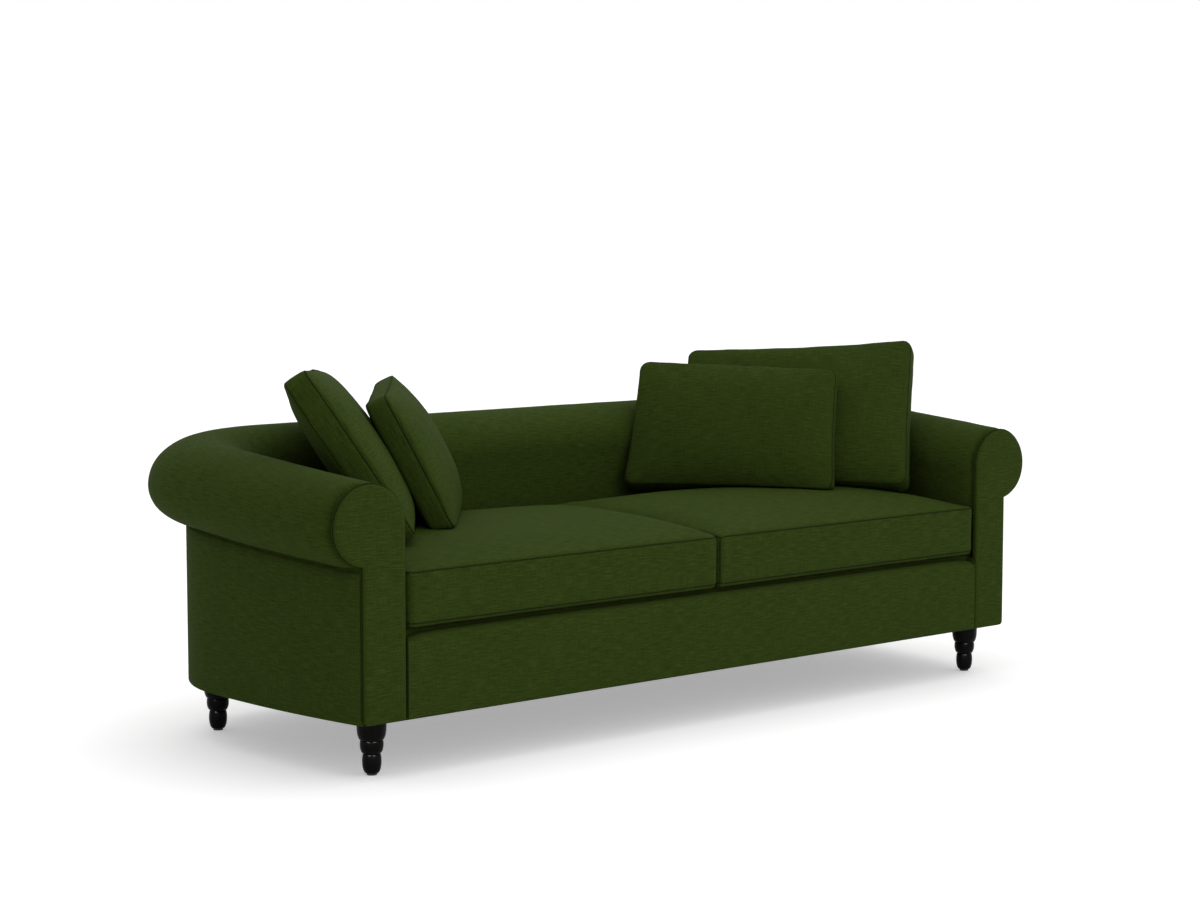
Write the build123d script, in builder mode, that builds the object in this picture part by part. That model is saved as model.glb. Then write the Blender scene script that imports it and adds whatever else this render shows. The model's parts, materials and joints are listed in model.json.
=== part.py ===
from build123d import *
from math import acos, asin, atan2, cos, degrees, pi, radians, sin, sqrt
import os

os.makedirs("parts", exist_ok=True)

# Plan of the body: the seat in the middle, the arms and the back round it
seat_half_width = 950.0
body_depth = 900.0
arm_front_depth = 122.0
back_depth = 165.0
bow_rise = 58.0
corner_radius = 340.0
seat_corner_radius = 175.0
split_margin = 15.0

# Heights above the floor
body_bottom = 130.0
border_top = 326.0
deck_top = 338.0
cushion_seam = 466.0
roll_seat = 484.0
front_crest = 675.0
bow_crest = 713.0
back_crest = 731.0

# How far the roll stands out past the outside panels
front_overhang = 76.0
bow_overhang = 72.0
back_overhang = 97.0
full_overhang_angle = 50.0

# Thicknesses of the layers
panel_thickness = 10.0
pad_thickness = 45.0
plate_thickness = 24.0
plate_reach = 35.0
rib_thickness = 18.0
rail_thickness = 25.0
facing_thickness = 14.0
facing_board_thickness = 18.0
border_thickness = facing_thickness + facing_board_thickness
dust_cover_thickness = 1.2

# Clearances
rest_gap = 0.3
cushion_gap = 3.0
bolt_clearance = 0.2

# Plan lines that follow from these sizes
front_half_width = seat_half_width + arm_front_depth
widest_half_width = front_half_width + bow_rise
bow_depth = body_depth - corner_radius
seat_depth = body_depth - back_depth

# Frame in the plan: the origin is under the middle of the whole sofa
front = -(body_depth + back_overhang) / 2
bow_y = front + bow_depth
back_y = front + body_depth
seat_back = front + seat_depth
wall_start = front + facing_thickness + facing_board_thickness

# Outside line: a wide side arc that runs into a quarter round corner
side_radius = (bow_depth**2 + bow_rise**2) / (2 * bow_rise)
side_centre_x = widest_half_width - side_radius
corner_x = widest_half_width - corner_radius

# Inside line: a straight arm that runs into a smaller quarter round corner
inner_corner_x = seat_half_width - seat_corner_radius
inner_corner_y = seat_back - seat_corner_radius
wall_split = min(corner_x, inner_corner_x) - split_margin


def outside_line(inset, start):
    """Draw the outside of the right wall from the front to the back, set in from the cover."""
    radius = side_radius - inset
    turn = corner_radius - inset
    sweep = asin((bow_y - start) / radius)
    begin = (side_centre_x + radius * cos(sweep), start)
    middle = (side_centre_x + radius * cos(sweep / 2), bow_y - radius * sin(sweep / 2))
    bow = (widest_half_width - inset, bow_y)
    bend = (corner_x + turn * cos(pi / 4), bow_y + turn * sin(pi / 4))
    rear = (corner_x, bow_y + turn)
    end = (wall_split, bow_y + turn)
    ThreePointArc(begin, middle, bow)
    ThreePointArc(bow, bend, rear)
    Line(rear, end)
    return begin, end


def inside_line(outset, start):
    """Draw the inside of the right wall from the front to the back, set out from the seat."""
    turn = seat_corner_radius + outset
    begin = (seat_half_width + outset, start)
    bow = (seat_half_width + outset, inner_corner_y)
    bend = (inner_corner_x + turn * cos(pi / 4), inner_corner_y + turn * sin(pi / 4))
    rear = (inner_corner_x, inner_corner_y + turn)
    end = (wall_split, inner_corner_y + turn)
    Line(begin, bow)
    ThreePointArc(bow, bend, rear)
    Line(rear, end)
    return begin, end


def wall_plan(outside_inset, inside_outset):
    """Plan of the right wall between the outside line and the inside line."""
    with BuildSketch() as plan:
        with BuildLine():
            outside = outside_line(outside_inset, wall_start)
            inside = inside_line(inside_outset, wall_start)
            Line(outside[0], inside[0])
            Line(outside[1], inside[1])
        make_face()
    return plan.sketch


def panel_plan(thickness):
    """Plan of the cover on the outside of the right wall."""
    with BuildSketch() as plan:
        with BuildLine():
            cover = outside_line(0, wall_start)
            lining = outside_line(thickness, wall_start)
            Line(cover[0], lining[0])
            Line(cover[1], lining[1])
        make_face()
    return plan.sketch


def pad_plan(thickness):
    """Plan of the padding on the inside of the right wall."""
    with BuildSketch() as plan:
        with BuildLine():
            face = inside_line(0, wall_start)
            rear = inside_line(thickness, wall_start)
            Line(face[0], rear[0])
            Line(face[1], rear[1])
        make_face()
    return plan.sketch


def save(builder, name):
    """Label a finished piece and write it."""
    builder.part.label = name
    export_step(builder.part, f"parts/{name}.step")


def save_pair(right, name):
    """Write the right piece, and its mirror image as the left piece."""
    with BuildPart() as left:
        mirror(right.part, about=Plane.YZ)
    save(right, f"{name}_right")
    save(left, f"{name}_left")


# Legs: three turned bulbs, each smaller than the one above
leg_front_offset = 48.0
leg_rear_offset = 56.0
leg_front_depth = 78.0
leg_rear_inset = 174.0
leg_foot_radius = 14.0
leg_low_bulb = 22.0
leg_low_neck = 19.0
leg_middle_bulb = 27.5
leg_high_neck = 25.0
leg_top_bulb = 34.0
leg_top_radius = 32.5
leg_low_bulb_height = 27.0
leg_low_neck_height = 51.0
leg_middle_bulb_height = 68.0
leg_high_neck_height = 82.5
leg_top_bulb_height = 109.0
leg_top = body_bottom - dust_cover_thickness
glide_radius = 12.0
glide_height = 4.0

# Leg bolts and tee nuts
bolt_radius = 5.0
bolt_depth_in_leg = 45.0
bolt_above_nut = 3.0
leg_block_side = 76.0
leg_block_height = 40.0
nut_flange_radius = 13.0
nut_flange = 2.0
nut_barrel_wall = 1.6
nut_barrel_length = 14.0

leg_front_x = seat_half_width + leg_front_offset
leg_rear_x = seat_half_width + leg_rear_offset
leg_rear_depth = body_depth - leg_rear_inset
plate_top = body_bottom + plate_thickness
block_top = plate_top + leg_block_height
leg_places = {
    "front_right_leg": (leg_front_x, front + leg_front_depth),
    "front_left_leg": (-leg_front_x, front + leg_front_depth),
    "rear_right_leg": (leg_rear_x, front + leg_rear_depth),
    "rear_left_leg": (-leg_rear_x, front + leg_rear_depth),
}
leg_spots = list(leg_places.values())
right_leg_spots = [spot for spot in leg_spots if spot[0] > 0]

for leg_name, (leg_x, leg_y) in leg_places.items():
    with BuildPart() as leg:
        with BuildSketch(Plane(origin=(leg_x, leg_y, 0), x_dir=(1, 0, 0), z_dir=(0, -1, 0))):
            with BuildLine():
                foot = (leg_foot_radius, glide_height)
                low_bulb = (leg_low_bulb, leg_low_bulb_height)
                low_neck = (leg_low_neck, leg_low_neck_height)
                middle_bulb = (leg_middle_bulb, leg_middle_bulb_height)
                high_neck = (leg_high_neck, leg_high_neck_height)
                top_bulb = (leg_top_bulb, leg_top_bulb_height)
                shoulder = (leg_top_radius, leg_top)
                ThreePointArc(foot, low_bulb, low_neck)
                ThreePointArc(low_neck, middle_bulb, high_neck)
                ThreePointArc(high_neck, top_bulb, shoulder)
                Line(shoulder, (0, leg_top))
                Line((0, leg_top), (0, glide_height))
                Line((0, glide_height), foot)
            make_face()
        revolve(axis=Axis((leg_x, leg_y, 0), (0, 0, 1)))
        with Locations((leg_x, leg_y, leg_top)):
            Hole(bolt_radius + bolt_clearance, depth=bolt_depth_in_leg + bolt_clearance)
    save(leg, leg_name)

with BuildPart() as floor_glides:
    with BuildSketch():
        with Locations(*leg_spots):
            Circle(glide_radius)
    extrude(amount=glide_height)
save(floor_glides, "floor_glides")

with BuildPart() as leg_bolts:
    with BuildSketch(Plane.XY.offset(leg_top - bolt_depth_in_leg)):
        with Locations(*leg_spots):
            Circle(bolt_radius)
    extrude(amount=block_top + nut_flange + bolt_above_nut - leg_top + bolt_depth_in_leg)
save(leg_bolts, "leg_bolts")

nut_bore = bolt_radius + bolt_clearance
nut_barrel_radius = nut_bore + nut_barrel_wall
with BuildPart() as tee_nuts:
    with BuildSketch(Plane.XY.offset(block_top)):
        with Locations(*leg_spots):
            Circle(nut_flange_radius)
            Circle(nut_bore, mode=Mode.SUBTRACT)
    extrude(amount=nut_flange)
    with BuildSketch(Plane.XY.offset(block_top - nut_barrel_length)):
        with Locations(*leg_spots):
            Circle(nut_barrel_radius)
            Circle(nut_bore, mode=Mode.SUBTRACT)
    extrude(amount=nut_barrel_length)
save(tee_nuts, "tee_nuts")

rear_leg_angle = degrees(atan2(leg_rear_depth - bow_depth, leg_rear_x - corner_x))
with BuildPart() as leg_blocks_half:
    with BuildSketch(Plane.XY.offset(plate_top)):
        with Locations(right_leg_spots[0]):
            Rectangle(leg_block_side, 2 * (leg_front_depth - rail_thickness - border_thickness))
        with Locations(right_leg_spots[1]):
            Rectangle(leg_block_side, leg_block_side, rotation=rear_leg_angle)
        with Locations(*right_leg_spots):
            Circle(nut_bore, mode=Mode.SUBTRACT)
    extrude(amount=leg_block_height)
    with BuildSketch(Plane.XY.offset(block_top - nut_barrel_length)):
        with Locations(*right_leg_spots):
            Circle(nut_barrel_radius + bolt_clearance)
    extrude(amount=nut_barrel_length, mode=Mode.SUBTRACT)
with BuildPart() as leg_blocks:
    add(leg_blocks_half.part)
    mirror(leg_blocks_half.part, about=Plane.YZ)
save(leg_blocks, "leg_blocks")

# Plates: flat boards cut to the plan, below and on top of the walls
with BuildPart() as base_plate:
    with BuildSketch(Plane.XY.offset(body_bottom)):
        add(wall_plan(panel_thickness, -plate_reach))
    extrude(amount=plate_thickness)
    with Locations(*[(x, y, plate_top) for x, y in right_leg_spots]):
        Hole(bolt_radius + bolt_clearance, depth=plate_thickness)
save_pair(base_plate, "base_plate")

with BuildPart() as base_plate_back:
    with BuildSketch(Plane.XY.offset(body_bottom)):
        with Locations((0, (seat_back - plate_reach + back_y - panel_thickness) / 2)):
            Rectangle(2 * wall_split, body_depth - seat_depth + plate_reach - panel_thickness)
    extrude(amount=plate_thickness)
save(base_plate_back, "base_plate_back")

base_front_width = 85.0
with BuildPart() as base_plate_front:
    with BuildSketch(Plane.XY.offset(body_bottom)):
        with Locations((0, wall_start + base_front_width / 2)):
            Rectangle(2 * (seat_half_width - plate_reach), base_front_width)
    extrude(amount=plate_thickness)
save(base_plate_front, "base_plate_front")

top_plate_bottom = roll_seat - plate_thickness
with BuildPart() as top_plate:
    with BuildSketch(Plane.XY.offset(top_plate_bottom)):
        add(wall_plan(panel_thickness, pad_thickness))
    extrude(amount=plate_thickness)
save_pair(top_plate, "arm_plate")

with BuildPart() as back_plate:
    with BuildSketch(Plane.XY.offset(top_plate_bottom)):
        with Locations((0, (seat_back + pad_thickness + back_y - panel_thickness) / 2)):
            Rectangle(2 * wall_split, body_depth - seat_depth - pad_thickness - panel_thickness)
    extrude(amount=plate_thickness)
save(back_plate, "back_plate")

# Ribs: upright boards across the walls, between the plates
middle_rib_share = 0.53
bow_rib_setback = 30.0
corner_rib_angles = (12.0, 68.0)
rib_reach = 2 * corner_radius
back_rib_margin = 61.0
back_rib_count = 4

rib_height = top_plate_bottom - plate_top
back_rib_step = 2 * (wall_split - rib_thickness / 2 - back_rib_margin) / (back_rib_count - 1)
front_rib_depth = facing_thickness + facing_board_thickness + rib_thickness / 2
arm_rib_depths = (front_rib_depth, middle_rib_share * bow_depth, bow_depth - bow_rib_setback)
with BuildPart() as arm_ribs:
    with BuildSketch(Plane.XY.offset(plate_top)):
        for rib_depth in arm_rib_depths:
            with Locations((seat_half_width + rib_reach / 2, front + rib_depth)):
                Rectangle(rib_reach, rib_thickness)
        for rib_angle in corner_rib_angles:
            with Locations((corner_x, bow_y)):
                Rectangle(rib_reach, rib_thickness, rotation=rib_angle, align=(Align.MIN, Align.CENTER))
        add(wall_plan(panel_thickness, pad_thickness), mode=Mode.INTERSECT)
    extrude(amount=rib_height)
save_pair(arm_ribs, "arm_ribs")

with BuildPart() as back_ribs:
    with BuildSketch(Plane.XY.offset(plate_top)):
        with Locations((0, (seat_back + pad_thickness + back_y - panel_thickness) / 2)):
            with GridLocations(back_rib_step, 0, back_rib_count, 1):
                Rectangle(rib_thickness, body_depth - seat_depth - pad_thickness - panel_thickness)
    extrude(amount=rib_height)
save(back_ribs, "back_ribs")

# Seat frame
web_thickness = 2.5
side_rail_height = 40.0
rear_rail_height = 60.0
stretcher_height = 60.0

stretcher_x = seat_half_width / 3
rail_top = border_top
frame_half_width = seat_half_width + pad_thickness
with BuildPart() as front_rail:
    with BuildSketch(Plane.XY.offset(plate_top)):
        with Locations((0, wall_start + rail_thickness / 2)):
            Rectangle(2 * frame_half_width, rail_thickness)
    extrude(amount=rail_top - plate_top)
save(front_rail, "front_rail")

rear_rail_y = seat_back + pad_thickness - rail_thickness
with BuildPart() as rear_seat_rail:
    with BuildSketch(Plane.XY.offset(rail_top - rear_rail_height)):
        with Locations((0, rear_rail_y + rail_thickness / 2)):
            Rectangle(2 * wall_split, rail_thickness)
    extrude(amount=rear_rail_height)
save(rear_seat_rail, "rear_seat_rail")

side_rail_start = wall_start + rail_thickness
with BuildPart() as side_rail:
    with BuildSketch(Plane.XY.offset(rail_top + web_thickness - side_rail_height)):
        with Locations((frame_half_width - rail_thickness / 2, (side_rail_start + bow_y) / 2)):
            Rectangle(rail_thickness, bow_y - side_rail_start)
    extrude(amount=side_rail_height)
save_pair(side_rail, "side_seat_rail")

with BuildPart() as stretchers:
    with BuildSketch(Plane.XY.offset(rail_top - stretcher_height)):
        with Locations((-stretcher_x, (side_rail_start + rear_rail_y) / 2)):
            Rectangle(rail_thickness, rear_rail_y - side_rail_start)
        with Locations((stretcher_x, (side_rail_start + rear_rail_y) / 2)):
            Rectangle(rail_thickness, rear_rail_y - side_rail_start)
    extrude(amount=stretcher_height)
save(stretchers, "centre_stretchers")

# Webbing and deck
web_width = 60.0
web_end_margin = 50.0
long_web_count = 11
cross_web_count = 3

long_web_step = 2 * (wall_split - web_width / 2 - web_end_margin) / (long_web_count - 1)
cross_web_step = (bow_y - side_rail_start - web_width - 2 * web_end_margin) / (cross_web_count - 1)
with BuildPart() as long_webbing:
    with BuildSketch(Plane.XY.offset(rail_top)):
        with Locations((0, (wall_start + rear_rail_y + rail_thickness) / 2)):
            with GridLocations(long_web_step, 0, long_web_count, 1):
                Rectangle(web_width, rear_rail_y + rail_thickness - wall_start)
    extrude(amount=web_thickness)
save(long_webbing, "lengthwise_webbing")

with BuildPart() as cross_webbing:
    with BuildSketch(Plane.XY.offset(rail_top + web_thickness)):
        with Locations((0, (side_rail_start + bow_y) / 2)):
            with GridLocations(0, cross_web_step, 1, cross_web_count):
                Rectangle(2 * frame_half_width, web_width)
    extrude(amount=web_thickness)
save(cross_webbing, "cross_webbing")

deck_bottom = rail_top + 2 * web_thickness
deck_front = wall_start - border_thickness / 2
with BuildPart() as deck_pad:
    with BuildSketch(Plane.XY.offset(deck_bottom)) as deck_sketch:
        with Locations((0, (deck_front + seat_back - cushion_gap) / 2)):
            Rectangle(2 * (seat_half_width - cushion_gap), seat_back - cushion_gap - deck_front)
        fillet(deck_sketch.vertices().group_by(Axis.Y)[-1], radius=seat_corner_radius - cushion_gap)
    extrude(amount=deck_top - deck_bottom)
save(deck_pad, "deck_pad")

dust_cover_inset = 12.0
with BuildPart() as dust_cover:
    with BuildSketch(Plane.XY.offset(leg_top)) as dust_sketch:
        with BuildLine() as dust_outline:
            edge = outside_line(dust_cover_inset, front + dust_cover_inset)
            Line(edge[1], (0, edge[1][1]))
            Line((0, edge[1][1]), (0, edge[0][1]))
            Line((0, edge[0][1]), edge[0])
        make_face()
        mirror(dust_sketch.sketch, about=Plane.YZ)
        with Locations(*leg_spots):
            Circle(bolt_radius + bolt_clearance, mode=Mode.SUBTRACT)
    extrude(amount=dust_cover_thickness)
save(dust_cover, "dust_cover")

# Outside panels and inside pads
pad_bottom = rail_top + 2 * web_thickness + rest_gap
with BuildPart() as outside_arm:
    with BuildSketch(Plane.XY.offset(body_bottom)):
        add(panel_plan(panel_thickness))
    extrude(amount=roll_seat - rest_gap - body_bottom)
save_pair(outside_arm, "outside_arm")

with BuildPart() as outside_back:
    with BuildSketch(Plane.XY.offset(body_bottom)):
        with Locations((0, back_y - panel_thickness / 2)):
            Rectangle(2 * wall_split, panel_thickness)
    extrude(amount=roll_seat - rest_gap - body_bottom)
save(outside_back, "outside_back")

with BuildPart() as inside_arm:
    with BuildSketch(Plane.XY.offset(pad_bottom)):
        add(pad_plan(pad_thickness))
    extrude(amount=roll_seat - rest_gap - pad_bottom)
save_pair(inside_arm, "inside_arm")

with BuildPart() as inside_back:
    with BuildSketch(Plane.XY.offset(pad_bottom)):
        with Locations((0, seat_back + pad_thickness / 2)):
            Rectangle(2 * wall_split, pad_thickness)
    extrude(amount=roll_seat - rest_gap - pad_bottom)
save(inside_back, "inside_back")


# Rolls: one section that swells from the arm front to the back
def roll_line(depth, crest, overhang):
    """Heights and radii of the roll's section on a wall of this depth."""
    width = depth + overhang
    radius = width / 2
    middle = crest - roll_seat - radius
    under_radius = (overhang**2 + middle**2) / (2 * overhang)
    return width, radius, middle, under_radius


def roll_section(plane, depth, crest, overhang):
    """Closed section: flat seat, straight inside, round top, and an underside tucked in to the panel."""
    width, radius, middle, under_radius = roll_line(depth, crest, overhang)
    under_angle = asin(middle / under_radius) / 2
    under_x = width - under_radius + under_radius * cos(under_angle)
    under_z = middle - under_radius * sin(under_angle)
    slant = radius * sin(pi / 4)
    with BuildSketch(plane) as section:
        with BuildLine():
            Line((depth, 0), (0, 0))
            Line((0, 0), (0, middle))
            ThreePointArc((0, middle), (radius - slant, middle + slant), (radius, middle + radius))
            ThreePointArc((radius, middle + radius), (radius + slant, middle + slant), (width, middle))
            ThreePointArc((width, middle), (under_x, under_z), (depth, 0))
        make_face()
    return section.sketch


def section_plane(point, outward):
    """Upright plane through a point of the inside line, with X pointing out of the seat."""
    origin = (point[0], point[1], roll_seat)
    return Plane(origin=origin, x_dir=(*outward, 0), z_dir=(outward[1], -outward[0], 0))


def side_section(depth_in):
    """Section of the arm roll at a depth behind the front plane, up to the bow."""
    y = front + depth_in
    share = depth_in / bow_depth
    outside_x = side_centre_x + sqrt(side_radius**2 - (bow_y - y) ** 2)
    crest = front_crest + share * (bow_crest - front_crest)
    overhang = front_overhang + share * (bow_overhang - front_overhang)
    plane = section_plane((seat_half_width, y), (1, 0))
    return roll_section(plane, outside_x - seat_half_width, crest, overhang)


def corner_section(angle):
    """Section of the arm roll at an angle round the rear corner."""
    outward = (cos(radians(angle)), sin(radians(angle)))
    shift_x = corner_x - inner_corner_x
    shift_y = bow_y - inner_corner_y
    along = shift_x * outward[0] + shift_y * outward[1]
    reach = sqrt(along**2 - shift_x**2 - shift_y**2 + seat_corner_radius**2) - along
    crest = bow_crest + sin(radians(angle)) * (back_crest - bow_crest)
    share = min(1, angle / full_overhang_angle)
    overhang = bow_overhang + share**2 * (3 - 2 * share) * (back_overhang - bow_overhang)
    plane = section_plane((corner_x + reach * outward[0], bow_y + reach * outward[1]), outward)
    return roll_section(plane, corner_radius - reach, crest, overhang)


roll_start = facing_thickness + facing_board_thickness
side_shares = (0, 0.5, 1)
corner_steps = (0, 18, 36, 54, 72, 90)
with BuildPart() as arm_roll:
    loft([side_section(roll_start + share * (bow_depth - roll_start)) for share in side_shares])
    loft([corner_section(angle) for angle in corner_steps])
save_pair(arm_roll, "arm_roll")

with BuildPart() as back_roll:
    back_plane = section_plane((corner_x, seat_back), (0, 1))
    back_section = roll_section(back_plane, body_depth - seat_depth, back_crest, back_overhang)
    extrude(back_section, amount=2 * corner_x, dir=(-1, 0, 0))
save(back_roll, "back_roll")

# Arm fronts: board, padded facing and welt
welt_radius = 3.0
facing_edge = 2.5

facing_inset = 2 * welt_radius + rest_gap


def facing_outline(y, inset):
    """Outline of the arm front at a depth, set in from its edge: the roll above, the wall below."""
    width, radius, middle, under_radius = roll_line(arm_front_depth, front_crest, front_overhang)
    top = radius - inset
    slant = top * sin(pi / 4)
    under = under_radius - inset
    under_centre = width - under_radius
    edge = arm_front_depth - inset
    low = body_bottom - roll_seat
    tuck_angle = acos((edge - under_centre) / under)
    tuck = (edge, middle - under * sin(tuck_angle))
    tuck_middle = (under_centre + under * cos(tuck_angle / 2), middle - under * sin(tuck_angle / 2))
    with BuildSketch(section_plane((seat_half_width, y), (1, 0))) as outline:
        with BuildLine():
            Line((edge, low), (inset, low))
            Line((inset, low), (inset, middle))
            ThreePointArc((inset, middle), (radius - slant, middle + slant), (radius, middle + top))
            ThreePointArc((radius, middle + top), (radius + slant, middle + slant), (width - inset, middle))
            ThreePointArc((width - inset, middle), tuck_middle, tuck)
            Line(tuck, (edge, low))
        make_face()
    return outline.sketch


with BuildPart() as facing_board:
    board_outline = facing_outline(front + facing_thickness, 0)
    extrude(board_outline, amount=facing_board_thickness, dir=(0, 1, 0))
save_pair(facing_board, "facing_board")

with BuildPart() as facing:
    flat_edge = facing_outline(front + facing_edge, facing_inset)
    extrude(flat_edge, amount=facing_thickness - facing_edge, dir=(0, 1, 0))
    loft([facing_outline(front, facing_inset + facing_edge), flat_edge])
save_pair(facing, "arm_facing")

welt_y = front + facing_thickness - welt_radius
with BuildPart() as facing_welt:
    f_width, f_radius, f_middle, f_under = roll_line(arm_front_depth, front_crest, front_overhang)
    slant = (f_radius - welt_radius) * sin(pi / 4)
    under = f_under - welt_radius
    under_centre = f_width - f_under
    tuck_angle = asin((f_middle - welt_radius) / under)
    tuck = (under_centre + under * cos(tuck_angle), welt_radius)
    tuck_middle = (under_centre + under * cos(tuck_angle / 2), f_middle - under * sin(tuck_angle / 2))
    inner_edge = welt_radius
    with BuildLine(section_plane((seat_half_width, welt_y), (1, 0))) as welt_path:
        Line((inner_edge, body_bottom - roll_seat), (inner_edge, f_middle))
        ThreePointArc(
            (inner_edge, f_middle),
            (f_radius - slant, f_middle + slant),
            (f_radius, f_middle + f_radius - welt_radius),
        )
        ThreePointArc(
            (f_radius, f_middle + f_radius - welt_radius),
            (f_radius + slant, f_middle + slant),
            (f_width - welt_radius, f_middle),
        )
        ThreePointArc((f_width - welt_radius, f_middle), tuck_middle, tuck)
    with BuildSketch(Plane(origin=welt_path.line @ 0, z_dir=welt_path.line % 0)):
        Circle(welt_radius)
    sweep(path=welt_path.line)
    seam_x = seat_half_width + arm_front_depth - welt_radius
    with BuildSketch(Plane.XY.offset(body_bottom)):
        with Locations((seam_x, welt_y)):
            Circle(welt_radius)
    extrude(amount=roll_seat - rest_gap - body_bottom)
save_pair(facing_welt, "facing_welt")

# Front border
border_top_radius = 18.0
border_bottom_radius = 6.0
with BuildPart() as front_border:
    with BuildSketch(Plane.XY.offset(body_bottom)):
        with Locations((0, front + border_thickness / 2)):
            Rectangle(2 * (seat_half_width - rest_gap), border_thickness)
    extrude(amount=border_top - body_bottom)
    border_edges = front_border.edges().filter_by(Axis.X).group_by(Axis.Y)[0].sort_by(Axis.Z)
    fillet(border_edges[-1], radius=border_top_radius)
    border_edges = front_border.edges().filter_by(Axis.X).group_by(Axis.Y)[0].sort_by(Axis.Z)
    fillet(border_edges[0], radius=border_bottom_radius)
save(front_border, "front_border")

# Seat cushions: boxed, with a crowned top and a full front
cushion_crown = 56.0
cushion_inner_crown = 38.0
cushion_outer_crown = 3.0
cushion_full_share = 0.55
cushion_front_swell = 7.0
cushion_split_gap = 3.0
cushion_front_corner = 16.0
cushion_trim = 5.0

cushion_bottom = deck_top + rest_gap
cushion_inner_x = cushion_split_gap / 2
cushion_outer_x = seat_half_width - cushion_gap
cushion_back = seat_back - cushion_gap
cushion_front = front + cushion_front_swell
cushion_length = cushion_outer_x - cushion_inner_x
cushion_corner_radius = seat_corner_radius - cushion_gap
crown_shares = (0.0, 0.25, 0.5, 0.75, 1.0)


def cushion_rise(share):
    """Crown of the top at a share of the length: full by the split, falling to the arm."""
    swell = sin(pi / 2 * min(1.0, share / cushion_full_share))
    full = cushion_inner_crown + (cushion_crown - cushion_inner_crown) * swell
    return cushion_outer_crown + (full - cushion_outer_crown) * (1 - share**4)


def cushion_section(share, lift):
    """Upright section across the right cushion at a share of its length, raised by a lift."""
    rise = cushion_rise(share)
    x = cushion_inner_x - cushion_trim + share * (cushion_length + 2 * cushion_trim)
    back = cushion_back + cushion_trim
    low = cushion_bottom + lift
    seam = cushion_seam + lift
    with BuildSketch(Plane(origin=(x, 0, 0), x_dir=(0, 1, 0), z_dir=(1, 0, 0))) as section:
        with BuildLine():
            middle_y = (cushion_front + back) / 2
            ThreePointArc(
                (cushion_front, low),
                (cushion_front - cushion_front_swell, (low + seam) / 2),
                (cushion_front, seam),
            )
            ThreePointArc((cushion_front, seam), (middle_y, seam + rise), (back, seam))
            Line((back, seam), (back, low))
            Line((back, low), (cushion_front, low))
        make_face()
    return section.sketch


def cushion_solid(lift):
    """The right seat cushion: the crowned loft, trimmed to the plan of the seat."""
    with BuildPart() as body:
        loft([cushion_section(share, lift) for share in crown_shares])
        plan_front = front - cushion_trim / 2
        with BuildSketch(Plane.XY.offset(body_bottom)) as plan:
            with Locations(((cushion_inner_x + cushion_outer_x) / 2, (plan_front + cushion_back) / 2)):
                Rectangle(cushion_length, cushion_back - plan_front)
            fillet(plan.vertices().group_by(Axis.Y)[-1].sort_by(Axis.X)[-1], radius=cushion_corner_radius)
            fillet(plan.vertices().group_by(Axis.Y)[0], radius=cushion_front_corner)
        extrude(amount=roll_seat, mode=Mode.INTERSECT)
    return body.part


with BuildPart() as seat_cushion:
    add(cushion_solid(0))
save_pair(seat_cushion, "seat_cushion")

# Pillows: boxed, with crowned faces and edges drawn in between the corners
large_width = 651.0
large_height = 456.0
large_box = 57.0
large_front_crown = 58.0
large_back_crown = 40.0
large_lean_angle = 33.5
large_turn_angle = 57.0
large_tilt_angle = 4.2
large_from_arm = 318.0
large_from_back = 313.0
large_lift = 46.0
small_width = 571.0
small_height = 371.0
small_box = 52.0
small_front_crown = 50.0
small_back_crown = 14.0
small_lean_angle = 27.5
small_turn_angle = 51.6
small_tilt_angle = -0.4
small_from_arm = 490.0
small_from_back = 268.0
small_lift = 48.0
pillow_draw_in = 9.0
pillow_edge_crown = 3.0
pillow_corner_radius = 24.0
pillow_margin = 12.0


def pillow_plane(from_arm, from_back, lift, angles, height, box):
    """Plane through the middle of a leaning pillow: X along its width, Y up its height."""
    turn, lean, tilt = angles
    along = Vector(cos(radians(turn)), -sin(radians(turn)), 0)
    facing_way = Vector(-sin(radians(turn)), -cos(radians(turn)), 0)
    normal = facing_way * cos(radians(lean)) + Vector(0, 0, 1) * sin(radians(lean))
    rise = Vector(0, 0, 1) * cos(radians(lean)) - facing_way * sin(radians(lean))
    seam = Vector(seat_half_width - from_arm, seat_back - from_back, cushion_seam + lift)
    centre = seam + rise * (height / 2) - normal * (box / 2)
    tilted = along * cos(radians(tilt)) + rise * sin(radians(tilt))
    return Plane(origin=centre, x_dir=tilted, z_dir=normal)


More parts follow.
